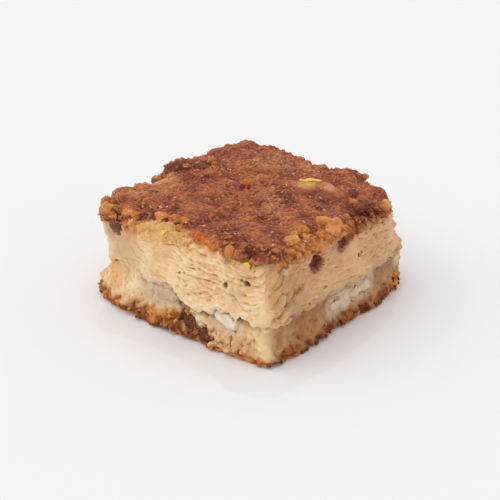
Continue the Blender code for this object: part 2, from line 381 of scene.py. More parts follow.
filler = copy_of("bread_base", "filler")
for vertex in filler.data.vertices:
    vertex.co = Vector((vertex.co.x * 0.975, vertex.co.y * 0.975, vertex.co.z + 1.4 * MM))
block = melt(
    [base, copy_of("custard_layer", "upper_layer"), filler]
    + [plug_for(name) for name in inclusions]
    + [strew("rim_lumps", rim_lumps, 0.22), strew("foot_lumps", foot_lumps, 0.2)],
    4,
)
rim_tree = points_tree([lump[0] for lump in rim_lumps])
foot_tree = points_tree([lump[0] for lump in foot_lumps])


def sides(facing):
    """How far a surface faces the front, and how far the right."""
    return ease(-facing.y, 0.3, 0.8), ease(facing.x, 0.3, 0.8)


def joined(x, y, facing):
    """1 where the two layers have baked into one, 0 where the upper one overhangs."""
    front, right = sides(facing)
    other = 1 - max(front, right)
    along_front = max(ease(x, 4.5, 1), ease(x, 37.5, 40.5) * 0.6)
    return min(1, front * along_front + right * 0.9 + other)


knitted = block.vertex_groups.new(name="knitted")
for vertex in block.data.vertices:
    x, y, z = vertex.co / MM
    if 5 < z < 26:
        share = joined(x, y, vertex.normal) * ease(abs(z - seam_under(x, y)), 4.5, 2)
        knitted.add([vertex.index], share, "REPLACE")
apply(block, "SMOOTH", iterations=26, vertex_group="knitted")
bpy.ops.object.mode_set(mode="EDIT")
bpy.ops.mesh.select_all(action="DESELECT")
bpy.ops.object.mode_set(mode="OBJECT")
for face in block.data.polygons:
    face.select = face.normal.z > -0.9 or face.center.z > 2 * MM
bpy.ops.object.mode_set(mode="EDIT")
bpy.ops.mesh.subdivide(number_cuts=1)
bpy.ops.object.mode_set(mode="OBJECT")


def lump_at(tree, lumps, place):
    """How much of the nearest lump's colour a place takes, and that lump's tone."""
    _, index, away = tree.find(place)
    size, tone = lumps[index][1], lumps[index][4]
    return ease(away / size + 0.12 * swell(*place, 1.3), 0.95, 0.15), tone


# The baked crust: a browned skin of dried custard and crumb, two or three millimetres thick, with a
# wrinkled, grainy top. It rolls over the cut faces in lumps, most at the left corner. Along the
# front a strip of it has broken away, and the sloping custard under it shows.
CRUST_THICK = 0.55
RIM_PROUD = 0.35


def broken_front(x, y):
    """How far, in millimetres, a point lies in front of the crust's broken front edge."""
    return -42.2 + 4.4 * bump(x, 0, -3, 0, 11) - y


def bare(x, y):
    """1 where the crust is missing from the top, 0 where it lies."""
    stray = 0.9 * swell(x, y, 0.3, 3.4) + 0.5 * swell(x, y, 0.8, 1.6)
    return ease(broken_front(x, y) + stray, -0.3, 0.5) * ease(abs(x - 0.5), 16.5, 14)


def hang(x, y):
    """How far down the cut faces the crust reaches."""
    reach = 1.5 + 0.7 * swell(x, y, 0, 7)
    reach += 4.8 * bump(x, y, -34, -42, 13) + 0.6 * bump(x, y, 28, -42, 9)
    return reach + 1.6 * bump(x, y, 39, -20, 8) + 3.2 * bump(x, y, 41, 1, 4)


def crust_relief(x, y, z, facing):
    """Height of the crust over the smooth block, and how much of its rim a place is."""
    wall = 1 - ease(facing.z, 0.45, 0.92)
    rim = max(wall, ease(max(abs(x) / 42, abs(y) / 44), 0.84, 0.97))
    broad = 0.55 * swell(x, y, 0, 11) + 0.45 * swell(x, y, 5, 4.8)
    bent_x = x + 0.9 * swell(x, y, 5, 3)
    bent_y = y + 0.9 * swell(x, y, 25, 3)
    wrinkle = 1 - min(1, 2 * abs(swell(bent_x, bent_y, z, 3.2)))
    crease = 1 - min(1, 2 * abs(swell(bent_x, bent_y, z + 40, 1.5)))
    nub = knobs(x, y, z, 2.5, 0.62) * ease(swell(x, y, z + 9, 4), -0.3, 0.5)
    pip = knobs(x, y, z + 5, 1.35, 0.6)
    fine = 0.4 * wrinkle + 0.15 * crease + 0.75 * nub + 0.36 * (pip - 0.3) - 0.44
    fine += 0.06 * swell(x, y, z, 0.9) + rim * (0.2 * pip + 0.3 * swell(x, y, z, 2.6))
    return CRUST_THICK + broad + fine + rim * RIM_PROUD, rim


class Wire:
    """One value in a material: sums on wires and numbers add the Math nodes that they need."""

    def __init__(self, finish, socket):
        self.finish = finish
        self.socket = socket

    def sum(self, operation, first, second):
        return self.finish.add("Math", {0: first, 1: second}, operation=operation)

    def __add__(self, other):
        return self.sum("ADD", self, other)

    def __sub__(self, other):
        return self.sum("SUBTRACT", self, other)

    def __rsub__(self, other):
        return self.sum("SUBTRACT", other, self)

    def __mul__(self, other):
        return self.sum("MULTIPLY", self, other)

    def ease(self, low, high, first=0, last=1):
        """A smooth rise from first to last as the wire goes from low to high."""
        if low > high:
            low, high, first, last = high, low, last, first
        ends = {"Value": self, "From Min": low, "From Max": high, "To Min": first, "To Max": last}
        return self.finish.add("MapRange", ends, interpolation_type="SMOOTHSTEP")


class Finish:
    """A material put together with add. Its tint is the colour so far, laid on coat by coat."""

    def __init__(self, name):
        self.material = bpy.data.materials.new(name)
        self.material.use_nodes = True
        self.tree = self.material.node_tree
        self.shader = self.tree.nodes["Principled BSDF"]
        self.place = self.add("TexCoord", {}, "Object")

    def add(self, kind, sockets, out=0, **settings):
        """Adds a node of that kind, with these values or links in its sockets and these settings."""
        node = self.tree.nodes.new("ShaderNode" + kind)
        for key, value in settings.items():
            setattr(node, key, value)
        for key, value in sockets.items():
            socket = node.inputs[key]
            if isinstance(value, Wire):
                self.tree.links.new(value.socket, socket)
            else:
                socket.default_value = (*value, 1) if socket.type == "RGBA" else value
        return Wire(self, node.outputs[out])

    def mask(self, name):
        return self.add("Attribute", {}, "Fac", attribute_name=name)

    def masks(self, *names):
        return [self.mask(name) for name in names]

    def grain(self, size, detail=3, rough=0.55, squeeze=(1, 1, 1)):
        """Noise of 0 to 1 whose hills are size millimetres apart."""
        scale = tuple(axis / (size * MM) for axis in squeeze)
        place = self.add("Mapping", {"Vector": self.place, "Scale": scale})
        sockets = {"Vector": place, "Scale": 1, "Detail": detail, "Roughness": rough}
        return self.add("TexNoise", sockets, "Fac")

    def spot(self, middle, radius, soft):
        """1 in a ball of that middle and radius, in millimetres, fading to 0 at its edge."""
        centre = tuple(axis * MM for axis in middle)
        away = self.add("VectorMath", {0: self.place, 1: centre}, "Value", operation="DISTANCE")
        return away.ease(radius * MM, radius * soft * MM)

    def blend(self, share, first, second):
        """The first colour where share is 0, the second where it is 1."""
        return self.add("Mix", {0: share, 6: first, 7: second}, 2, data_type="RGBA")

    def paint(self, share, colour):
        """Covers the tint with this colour where share is 1."""
        self.tint = self.blend(share, self.tint, colour)

    def dab(self, spots, soft, share, colour=None):
        """Paints round spots: x, y, z, a radius, and a colour unless one is given for them all."""
        for x, y, z, radius, *own in spots:
            self.paint(self.spot((x, y, z), radius, soft) * share, colour or own[0])

    def stain_and_shade(self, share, by):
        """Multiplies the tint by another colour where share is 1: for real stains, and for painted shade.
        """
        sockets = {0: share, 6: self.tint, 7: by}
        self.tint = self.add("Mix", sockets, 2, data_type="RGBA", blend_type="MULTIPLY")

    def toast(self, share):
        """From burnt to golden as share goes from 0 to 1."""
        colour = BURNT_TO_GOLD[0][1]
        for (low, _), (high, after) in zip(BURNT_TO_GOLD, BURNT_TO_GOLD[1:]):
            colour = self.blend(share.ease(low, high), colour, after)
        return colour

    def wear(self, roughness, height, depth, wet=None):
        """Links what varies: tint, roughness, a bump of that depth in millimetres, the coat."""
        bump = self.add("Bump", {"Height": height, "Distance": depth * MM})
        varying = [("Base Color", self.tint), ("Roughness", roughness), ("Normal", bump)]
        for key, wire in varying + ([("Coat Weight", wet)] if wet else []):
            self.tree.links.new(wire.socket, self.shader.inputs[key])

    def fix(self, weight, depth, radius=(1, 0.2, 0.1), **values):
        """Sets what doesn't vary: how light goes in, to that depth in millimetres, and the rest."""
        values |= {"Subsurface_Weight": weight, "Subsurface_Scale": depth * MM}
        for key, value in (values | {"Subsurface_Radius": radius}).items():
            self.shader.inputs[key.replace("_", " ")].default_value = value

    def dress(self, piece, slot, *nodes):
        """Gives the piece this finish, hangs it on the root body and hides the parts it stands for."""
        piece.data.materials.clear()
        piece.data.materials.append(self.material)
        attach(piece, "root")
        if nodes:
            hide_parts(*nodes)


BURNT_TO_GOLD = (
    (0, (0.09, 0.02, 0.012)), (0.3, (0.22, 0.054, 0.022)), (0.55, (0.44, 0.132, 0.034)),
    (0.78, (0.68, 0.265, 0.06)), (1, (0.88, 0.47, 0.15)),
)
CRUST_TAN = (
    (34, -16, 35, 5), (-16.6, 22.9, 36, 8), (12, 21.5, 35, 6), (-32.5, -9, 35, 9), (-10, 12, 35, 6),
    (5, 3, 35, 8), (14, -6, 35, 9), (24, -10, 35, 5), (0, 34, 35, 8), (-30, -27, 35, 6),
    (-24, -14, 35, 5), (37, -21, 34, 5), (37, -5, 34, 5), (-28, -20, 35, 10), (-12, 30, 35, 12),
    (-36, -32, 34, 7),
)
CRUST_DARK = (
    (18, -31, 35, 9), (32, -36.5, 36, 9), (35.5, 17, 32, 10), (4, -25, 35, 8), (-16, -35, 35, 5),
    (24, 12, 34, 9), (-8, -16, 35, 8), (-22, 0, 35, 7), (-35, 6, 36, 6), (8, 8, 35, 7), (28, 26, 33, 8),
    (29, -5, 34.5, 8),
)
CRUST_SPOTS = (
    (8.6, 18, 35.5, 5, (0.74, 0.4, 0.16)), (8.9, 21.6, 35.5, 3.8, (0.92, 0.6, 0.13)),
    (16.7, 22.2, 35.2, 3.6, (0.8, 0.42, 0.19)), (-34, -11, 35.5, 6.5, (0.84, 0.45, 0.23)),
    (-6.8, 5, 37.2, 2.6, (0.74, 0.18, 0.018)), (26.8, 23.4, 33.6, 2.1, (0.9, 0.42, 0.13)),
    (36, -22.8, 35, 3.4, (1, 0.6, 0.2)), (34.2, -14.9, 35.6, 2.6, (0.84, 0.3, 0.045)),
    (10.5, -38.5, 35.5, 3, (0.66, 0.18, 0.02)), (14, -40.4, 35, 3.4, (0.66, 0.18, 0.02)),
    (17.8, -41, 34, 3, (0.66, 0.18, 0.02)),
)
BURNT_RIM = (
    (37, 9, 34, 7), (34, 17, 32.5, 11), (36.5, 17, 32, 6), (39, 2, 32, 6), (40.5, -2, 31.5, 4.5),
    (31, -40, 34, 6), (-14.5, -36, 34, 3),
)

baked = Finish("baked_crust")
dip, crease, rim, lump, tone = baked.masks("dip", "crease", "rim", "lump", "tone")
patches = baked.grain(9)
mottle = baked.grain(3.2)
flecks = baked.grain(1.1, 3, 0.6)
fine = baked.grain(0.5, 2)
baked.tint = baked.blend(patches.ease(0.36, 0.62), (0.25, 0.062, 0.034), (0.47, 0.145, 0.066))
baked.dab(CRUST_TAN, 0.15, flecks.ease(0.3, 0.62) * 0.7, (0.68, 0.32, 0.13))
baked.dab(CRUST_DARK, 0.25, mottle.ease(0.72, 0.4) * 0.65, (0.155, 0.036, 0.023))
baked.paint(mottle.ease(0.55, 0.75) * 0.5, (0.66, 0.24, 0.085))
baked.paint(mottle.ease(0.46, 0.3) * 0.5, (0.13, 0.03, 0.021))
golden = baked.toast(rim * mottle + patches * 0.25)
baked.paint(rim * flecks.ease(0.35, 0.6) * 0.6, golden)
# Painted shade: the crust is darkened in its creases and broad hollows, and its lumps are toned darker in
# the hollows.
baked.paint(crease.ease(0.02, 0.18) * 0.55, (0.105, 0.022, 0.015))
baked.paint(dip.ease(-0.04, 0.36) * 0.7, (0.1, 0.022, 0.015))
lumpy = baked.toast(tone + (flecks - 0.5) * 0.4 - dip.ease(0, 0.5) * 0.3)
baked.paint(lump * mottle.ease(0.2, 0.5, 0.7, 1), lumpy)
# Painted highlights: the crust's ridges and the tops of its wrinkles are lightened, as if lit.
baked.paint(dip.ease(-0.1, -0.45) * 0.55, (0.7, 0.275, 0.095))
baked.paint(crease.ease(-0.03, -0.16) * 0.25, (0.74, 0.33, 0.13))
# Painted glints: small pale specks laid into the crust's colour.
baked.paint(baked.grain(1.5, 1).ease(0.68, 0.76) * 0.6, (0.95, 0.66, 0.42))
baked.dab(CRUST_SPOTS, 0.2, 0.75)
for *middle, radius in BURNT_RIM:
    baked.stain_and_shade(baked.spot(middle, radius, 0.3) * 0.75, (0.44, 0.28, 0.25))
wet = flecks.ease(0.54, 0.68, 0.04, 0.6)
baked.wear(flecks.ease(0.3, 0.7, 0.2, 0.4), fine * 0.5 + flecks * 1.5, 0.45, wet)
baked.fix(0.35, 0.7, (1, 0.4, 0.15), Specular_IOR_Level=0.02, Coat_Roughness=0.13)

# The custard: pale, moist crumb that a knife has cut and torn. Its faces are flaky, with small
# pores, and its lower edge hangs over the bread in a ragged lip along the front. Towards the left
# and on the far sides the two layers have baked into one.
TEETH = 1.7
CUSTARD_SPOTS = (
    (-9, -40, 32, 7, (0.76, 0.41, 0.1)), (-1, -39, 33.6, 6, (0.88, 0.5, 0.1)),
    (17.5, -41.5, 33, 3, (0.72, 0.21, 0.02)), (29, -42, 20.5, 6, (0.66, 0.44, 0.255)),
    (15, -42.5, 19, 6, (0.8, 0.5, 0.24)), (42, -29, 21, 13, (0.68, 0.44, 0.235)),
    (-17, -40.5, 31, 6, (0.68, 0.34, 0.09)), (-22, -41, 24, 16, (0.6, 0.355, 0.155)),
    (7, -42.5, 25, 9, (0.95, 0.68, 0.395)), (35, -41, 32.5, 4, (0.78, 0.46, 0.12)),
    (33, -41, 27.5, 5, (0.66, 0.36, 0.15)), (41, -38.9, 20.5, 3.5, (0.72, 0.35, 0.09)),
    (41.5, -38.6, 15.5, 2.8, (0.8, 0.42, 0.12)), (41, -2.4, 31.2, 4.4, (0.28, 0.12, 0.075)),
    (41, -7, 29.8, 3.4, (0.44, 0.22, 0.13)), (41, -17, 31, 3, (0.4, 0.19, 0.12)),
    (-31, -41, 26, 4.5, (0.5, 0.29, 0.16)), (-30, -40, 15, 4, (0.8, 0.42, 0.19)),
)
PORES = (
    (24.2, -42.3, 23.4, 1.35, 2.8), (32.8, -41.8, 26.5, 1.35, 2.8), (30.9, -41.8, 27, 0.8, 1.6),
    (4.7, -42.8, 21.9, 0.6, 1), (6.9, -42.6, 22.7, 0.7, 1.2), (41.4, 6.1, 22, 1, 1.7),
    (41.4, 7.6, 22.6, 0.6, 1), (41.3, -20.2, 32.4, 0.9, 1.2), (42.3, -13.4, 17.7, 0.8, 1.4),
    (40.8, -33.6, 33, 0.6, 1.2), (41.4, -10.4, 26, 0.5, 1),
)


def pores(x, y, z, front, right):
    """Depth of the holes left by bubbles: the large ones by name, the small ones at random."""
    deep = 0
    for *middle, wide, down in PORES:
        on_front = abs(middle[1]) > abs(middle[0])
        away = hypot(x - middle[0] if on_front else y - middle[1], 1.2 * (z - middle[2]))
        if away < wide and (front if on_front else right) > 0.4:
            deep = max(deep, down * ease(away, wide, wide * 0.5))
    size = 3.1
    near, spots = noise.voronoi((x / size, y / size, z / size))
    chance = noise.noise(spots[0] * 9.7)
    if chance > 0.24:
        wide = 0.35 + 1.2 * (chance - 0.24)
        deep = max(deep, 0.7 * ease(near[0] * size, wide, wide * 0.4))
    return deep


def ledge(value):
    """Falls from 1 to 0 over most of each whole step of value, and rises again softly."""
    part = value - floor(value)
    return min(1 - part, 3.2 * part)


def custard_relief(x, y, z, facing, level, knit):
    """How far the custard's skin moves out and down, the depth of its pores, and its corner."""
    front, right = sides(facing)
    wall = ease(abs(facing.z), 0.97, 0.7)
    near = bump(x, y, 40.5, -42.5, 2.8)
    leaf = right * ease(y, -20, -30) * (1 - near)
    lumpy = front * ease(x, -3, 5)
    calm = 1 - max(leaf, lumpy)
    out = 0.45 * swell(x, y, z, 9) + 0.28 * swell(x, y, z, 4)
    lean = z + (0.26 * min(0, x - 8) + 0.08 * x) * front + 0.05 * y * right
    layer = (lean + 1.6 * swell(x, y, z, 9) + 0.5 * swell(x / 2, y / 2, z, 2.6)) / 3.2
    ragged = ease(swell(x / 2.5 + 40, y / 2.5, lean, 3.6), -0.5, 0.3)
    fine_layer = (lean + 0.8 * swell(x, y, z, 5) + 0.4 * swell(x / 2, y / 2, z, 1.8)) / 1.5
    torn = ease(swell(x / 2, y / 2, lean + 8, 3), -0.5, 0.3)
    flake = (1.2 - 0.3 * calm) * (ledge(layer) - 0.4) * ragged
    flake += (0.55 + 0.15 * lumpy) * (ledge(fine_layer) - 0.4) * torn
    blob = knobs(x, y, 1.5 * z, 3.3, 0.75)
    crumb = 0.14 * swell(x / 2.2, y / 2.2, z, 1.1) + 0.07 * swell(x, y, z, 1.2)
    crumb += lumpy * (0.8 * (blob - 0.4) + 0.3 * swell(x, y, z, 2.1))
    along = y * 0.8 + z * 0.6
    across = z * 0.8 - y * 0.6
    edges, cells = noise.voronoi((x / 6, along / 5.2 + 0.35 * swell(x, y, z, 5), across / 2.6))
    plate = 2.3 * noise.noise(cells[0] * 7.1) + 0.4 * ease(edges[1] - edges[0], 0, 0.5)
    out += (flake * (1 - 0.7 * leaf) + crumb + leaf * plate) * wall * (1 - 0.8 * near)
    out += near * (0.4 + 0.45 * swell(x, y, z, 4.5) + 0.8 * bump(z, 0, 17, 0, 4))
    out += bump(x, y, 39, 39, 9) * wall * (1.9 * knobs(x, y, z, 3.8, 0.6) - 0.7)
    hole = pores(x, y, z, front, right) * wall
    out -= hole
    overhang = (1 - knit) * wall
    out += ease(level, 4, 0.3) * 0.55 * overhang - 0.6 * right * ease(level, 4, 0)
    tooth = max(0, 0.35 + 0.9 * swell(x, y, 0, 4) + 0.35 * swell(x, y, 0, 1.7))
    down = ease(level, 2.4, 0) * TEETH * overhang * tooth
    return out, down, hole, near


cream = Finish("custard_crumb_finish")
dip, crease, pore, under, corner = cream.masks("dip", "crease", "pore", "under_crust", "corner")
clouds = cream.grain(9)
flecks = cream.grain(1.8, 4, 0.65)
threads = cream.grain(2.4, 3, 0.6, (0.2, 0.2, 1.4))
fine = cream.grain(0.5, 2)
cream.tint = cream.blend(clouds.ease(0.35, 0.65), (0.8, 0.5, 0.245), (0.94, 0.675, 0.39))
cream.paint(threads.ease(0.45, 0.75) * 0.4, (0.93, 0.67, 0.4))
cream.paint(flecks.ease(0.58, 0.82) * 0.25, (0.66, 0.36, 0.14))
# Painted highlights: the custard's ridges are lightened, as if lit.
cream.paint(dip.ease(0, -0.35) * 0.5, (0.95, 0.7, 0.41))
cream.paint(crease.ease(-0.04, -0.16) * 0.6, (0.98, 0.82, 0.56))
cream.dab(CUSTARD_SPOTS, 0.15, 0.7)
gilded = cream.blend(flecks.ease(0.35, 0.6), (0.7, 0.34, 0.075), (0.92, 0.58, 0.2))
cream.paint(under * clouds.ease(0.15, 0.45, 0.4, 0.9), gilded)
cream.paint(cream.mask("lump") * 0.75, cream.toast(cream.mask("tone")))
# Painted shade: a darker band along the custard just under the crust's edge.
cream.paint(under.ease(0.75, 1) * 0.2, (0.36, 0.15, 0.045))
# Painted shade: the custard is darkened in its creases and hollows.
cream.paint(crease.ease(0.03, 0.18) * 0.55, (0.58, 0.32, 0.125))
cream.paint(dip.ease(0.12, 0.55) * 0.7, (0.42, 0.2, 0.07))
# Painted shade: the right face, turned away from the lamp, is darkened and warmed.
cream.stain_and_shade(cream.mask("side"), (0.82, 0.7, 0.6))
cream.paint(cream.mask("glassy") * 0.65, (0.46, 0.27, 0.145))
# Painted highlight: the custard's ridge at the near corner is lightened, as if lit.
cream.paint(corner * 0.6, (0.98, 0.74, 0.43))
# Painted shade: the pores are darkened inside, where shade falls.
cream.paint(pore * 0.85, (0.3, 0.12, 0.034))
cream.stain_and_shade(cream.mask("stained"), (0.5, 0.33, 0.25))
cream.paint(cream.mask("juicy") * 0.7, (0.76, 0.58, 0.4))
cream.wear(clouds.ease(0.3, 0.7, 0.34, 0.48), fine * 0.6 + flecks + threads * 1.4, 0.32)
cream.fix(0.4, 0.6, (1, 0.6, 0.32), Specular_IOR_Level=0.3, Coat_Weight=0.15, Coat_Roughness=0.25)

# The soaked bread under it: torn pieces of bread swollen with milk, pressed into lumps, pale above
# and browned where they lay on the tin. It is set back a little under the custard's lip.
RECESS = 1.8
CLEFTS = (
    (6.4, -43.5, 8.2, 1.3, 3.4, 2.6), (9.5, -43.5, 13.6, 3.4, 1.2, 2.2), (25.2, -43, 14.8, 1.9, 1.1, 2.4),
    (33.8, -43, 15.2, 2.4, 0.9, 1.4), (28.2, -43.5, 6.2, 0.7, 2.4, 1.2),
)
PALE_SPOTS = (
    (-30.4, -39.2, 12, 4, (0.76, 0.36, 0.14)), (-16, -42, 11, 7, (0.92, 0.71, 0.46)),
    (-28, -40, 10.5, 6, (0.86, 0.5, 0.23)),
)
TOASTED_SPOTS = (
    (-12, -44.5, 3, 3, (0.3, 0.1, 0.028)), (36.5, -45, 4, 3.5, (0.95, 0.52, 0.19)),
    (42.6, -29, 3, 4, (0.66, 0.37, 0.185)), (42.6, -8, 2, 5, (0.64, 0.33, 0.17)),
    (42.6, 14, 2, 5, (0.64, 0.31, 0.15)),
)
PALEST_SPOTS = (
    (13.6, -43.8, 8.2, 3, (0.98, 0.84, 0.56)), (41.5, 34, 12, 7, (0.84, 0.58, 0.34)),
    (40, -2, 9, 5.5, (0.92, 0.8, 0.64)),
)


def foot_height(x, y, facing):
    """How high the browned part of the bread reaches."""
    front, _ = sides(facing)
    rise = 3.9 + 3.1 * bump(x, 0, -3, 0, 12) + 1.6 * bump(x, 0, 3.5, 0, 3)
    rise -= 1.5 * ease(x, 6.5, 9) - 1.3 * ease(x, 24, 34)
    rise = front * rise + (1 - front) * 3.7 + 2.5 * bump(x, y, 42, 33, 6)
    return rise + 1.3 * swell(x, y, 0, 5)


def bread_relief(x, y, z, facing, level, knit):
    """How far the bread's skin moves out, and its browned, glassy, soft and dripping places."""
    front, right = sides(facing)
    wall = ease(abs(facing.z), 0.97, 0.7)
    near = bump(x, y, 41, -43, 3) * ease(z, 1.5, 4)
    soft = front * ease(x, 3, -3)
    height = foot_height(x, y, facing) - 1.5 * near
    foot = ease(z + 0.8 * swell(x, y, z, 2.6), height + 1.5, height - 1.3)
    blob = knobs(x, y, z, 3.4, 0.7)
    small = knobs(x, y, z, 1.7, 0.7)
    calm = max(0.6 * near, soft * (1 - foot) * 0.55, right * ease(level, -5.5, -3.5) * 0.85)
    out = 0.35 * swell(x, y, z, 8) + 0.28 * swell(x, y, z, 3.5)
    rough = (1 - calm) * wall * (1 - 0.35 * right)
    out += (1.35 * (blob - 0.5) + (0.5 - 0.3 * right) * (small - 0.45)) * rough
    out += (0.2 * swell(x, y, z, 1.5) + 0.06 * swell(x, y, z, 0.8)) * wall
    out += 0.7 * near
    out -= RECESS * (1 - knit) * wall * ease(level, -3.4, -0.6)
    out += 0.2 * right * wall * ease(level, -6, 0)
    deep = 0
    for *middle, wide, tall, down in CLEFTS:
        away = hypot((x - middle[0]) / wide, (z - middle[2]) / tall)
        away += 0.35 * swell(x, y, z, 1.6)
        if away < 1 and front > 0.4:
            deep = max(deep, down * ease(away, 1, 0.45))
    out -= deep
    under = max(0, -facing.z)
    out += under * 0.25 * (knobs(x, y, 0, 2.2, 0.7) - 0.8)
    glassy = right * ease(level, -5.5, -1.5) * ease(y, -36, -28)
    return out, foot, glassy, soft * ease(x, -20, -6) * ease(z, 6.5, 9), near


soaked = Finish("soaked_bread_finish")
dip, crease, foot, soft = soaked.masks("dip", "crease", "foot", "soft")
clouds = soaked.grain(6)
patches = soaked.grain(3.6, 2)
flecks = soaked.grain(1.3, 4, 0.65)
fine = soaked.grain(0.45, 2)
soaked.tint = soaked.blend(clouds.ease(0.35, 0.65), (0.7, 0.42, 0.19), (0.86, 0.61, 0.35))
soaked.paint(flecks.ease(0.55, 0.8) * 0.35, (0.5, 0.26, 0.1))
soaked.paint(soft * 0.7, (0.66, 0.48, 0.31))
soaked.paint(soaked.mask("glassy") * 0.8, (0.56, 0.35, 0.2))
soaked.dab(PALE_SPOTS, 0.15, 0.75)
pale = soaked.tint
soaked.tint = soaked.blend(flecks.ease(0.35, 0.65), (0.34, 0.1, 0.022), (0.72, 0.245, 0.038))
lumpy = soaked.toast(soaked.mask("tone") + (flecks - 0.5) * 0.4)
soaked.paint(soaked.mask("lump") * 0.9, lumpy)
soaked.paint(patches.ease(0.53, 0.4) * 0.75, (0.15, 0.042, 0.014))
soaked.paint(patches.ease(0.55, 0.68) * 0.6, (0.84, 0.35, 0.07))
soaked.dab(TOASTED_SPOTS, 0.3, flecks.ease(0.3, 0.6, 0.4, 0.9))
soaked.tint = soaked.blend(foot, pale, soaked.tint)
hot = foot.ease(0.2, 0.8)
# Painted shade: the bread is darkened in its creases and hollows, most deeply in the browned foot.
soaked.paint(crease.ease(0.03, 0.18) * 0.6, (0.4, 0.19, 0.07))
soaked.paint(dip.ease(0.04, 0.5) * 0.75, (0.3, 0.125, 0.042))
soaked.paint(dip.ease(0.1, 0.5) * hot * 0.6, (0.13, 0.034, 0.012))
# Painted highlights: the bread's ridges are lightened, as if lit.
soaked.paint(crease.ease(-0.04, -0.16) * (1 - hot) * 0.6, (0.92, 0.71, 0.45))
soaked.paint(crease.ease(-0.04, -0.18) * hot * 0.4, (0.76, 0.38, 0.11))
# Painted shade: the bread's right face, turned away from the lamp, is darkened and warmed.
soaked.stain_and_shade(soaked.mask("side"), (0.64, 0.5, 0.42))
sugar = soaked.spot((41.5, 33, 4.5), 8, 0.3) * hot * flecks.ease(0.3, 0.6, 0.5, 0.9)
soaked.paint(sugar, (0.9, 0.34, 0.05))
soaked.paint(soaked.mask("corner") * 0.85, (0.97, 0.74, 0.43))
soaked.stain_and_shade(soaked.mask("stained"), (0.42, 0.24, 0.16))
soaked.dab(PALEST_SPOTS, 0.3, flecks.ease(0.2, 0.5, 0.5, 0.9))
soaked.paint(soaked.mask("juicy") * 0.8, (0.72, 0.55, 0.38))
wet = hot * flecks.ease(0.54, 0.68, 0.05, 0.45)
soaked.wear(clouds.ease(0.3, 0.7, 0.3, 0.5), fine * 0.7 + flecks, 0.32, wet)
soaked.fix(0.35, 0.6, (1, 0.5, 0.2), Specular_IOR_Level=0.08, Coat_Roughness=0.15)

# Raisins: soaked and wrinkled, dark purple-brown, most of each one inside the crumb. The packed
# raisins keep their places and get the fine creases of the skin.
RAISIN_SPOTS = (
    (-26, -39, 30, 8, (0.3, 0.12, 0.07)), (-37.5, 0, 36, 9, (0.22, 0.04, 0.022)),
    # The last spot is a painted highlight: a lighter sheen on the short raisin at the rear rim.
    (-29, 7.5, 36, 5, (0.19, 0.06, 0.06)),
)

skin = Finish("raisin_skin")
creases = skin.mask("crease")
flecks = skin.grain(0.8)
# Painted shade and highlight: the raisin is darker in its folds and furrows and lighter on the raised
# skin between them.
skin.tint = skin.blend(creases, (0.04, 0.01, 0.01), (0.125, 0.034, 0.026))
skin.paint(flecks.ease(0.5, 0.7) * 0.4, (0.22, 0.08, 0.052))
skin.dab(RAISIN_SPOTS, 0.6, 0.65)
skin.paint(skin.mask("edge") * 0.6, (0.3, 0.12, 0.055))
skin.wear(flecks.ease(0.3, 0.7, 0.25, 0.4), flecks, 0.15)
skin.fix(0.1, 0.8, Specular_IOR_Level=0.04, Coat_Weight=0.16, Coat_Roughness=0.08)


def refined(node, name, levels):
    """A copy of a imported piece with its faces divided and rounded."""
    piece = copy_of(node, name)
    apply(piece, "SUBSURF", levels=levels)
    return piece


def carve(piece, shape, masks):
    """Puts every vertex where shape says, and keeps the masks it returns as attributes."""
    mesh = piece.data
    before = [(vertex.co / MM, vertex.normal.copy()) for vertex in mesh.vertices]
    after = [shape(place, facing) for place, facing in before]
    mesh.vertices.foreach_set("co", [axis * MM for place, _ in after for axis in place])
    for slot, mask in enumerate(masks):
        keep(piece, mask, [values[slot] for _, values in after])
    mesh.update()
    pick(piece)
    bpy.ops.object.shade_smooth()


def raisin_shape(place, facing):
    """The raisin's skin, with a broad fold and fine furrows."""
    x, y, z = place
    fold = 1 - min(1, 2.4 * abs(swell(x, y, z, 2.3)))
    furrow = 1 - min(1, 2.4 * abs(swell(x + 5, y, z, 1.2)))
    push = 0.35 * swell(x, y, z, 2.8) - 0.5 * fold - 0.22 * furrow
    return place + facing * push, (ease(push, -0.45, 0.15),)


# How much crumb has fallen away over each raisin. Below 0, some still lies on it.
BARED = {"raisin_corner": 1.3, "raisin_under_crust": -0.9, "raisin_foot_left": -0.9}
set_in = []
for node in [name for name in inclusions if name.startswith("raisin")]:
    raisin = refined(node, f"{node}_skin", 2)
    carve(raisin, raisin_shape, ("crease",))
    skin.dress(raisin, "raisin", node)
    set_in.append((raisin, BARED.get(node, 0.3), 1.7))

# Pale fruit: soft, wet, half-clear pieces pressed into the bread just under the custard.
flesh = Finish("pale_fruit_flesh")
clouds = flesh.grain(2.5)
flesh.tint = flesh.blend(flesh.mask("pale"), (0.6, 0.4, 0.24), (0.84, 0.72, 0.59))
flesh.paint(clouds.ease(0.55, 0.35) * 0.5, (0.66, 0.47, 0.29))
flesh.paint(flesh.mask("edge") * 0.9, (0.7, 0.5, 0.31))
flesh.wear(clouds.ease(0.3, 0.7, 0.25, 0.4), clouds, 0.3)
flesh.fix(0.4, 1.5, (1, 0.7, 0.45))


def fruit_shape(place, facing):
    """The fruit's soft cut surface, and how pale it is there."""
    x, y, z = place
    push = 0.4 * swell(x, y, z, 3.2) + 0.2 * swell(x, y, z, 1.4)
    pale = ease(x, 16, 24) * (1 - 0.6 * ease(x, 34, 36))
    return place + facing * push, (pale,)


for node in [name for name in inclusions if name.startswith("fruit")]:
    fruit = refined(node, f"{node}_flesh", 3)
    carve(fruit, fruit_shape, ("pale",))
    flesh.dress(fruit, "pale_fruit", node)
    set_in.append((fruit, 0.7, 3.8))

# Carving the block: every point of the skin moves as the crust, the custard or the bread that it
# belongs to. Then the skin is pressed back round the raisins and the fruit, and cut into its three
# pieces along the crust's edge and along the seam.
MASKS = "baked level rim lump tone pore under_crust corner foot glassy soft side".split()
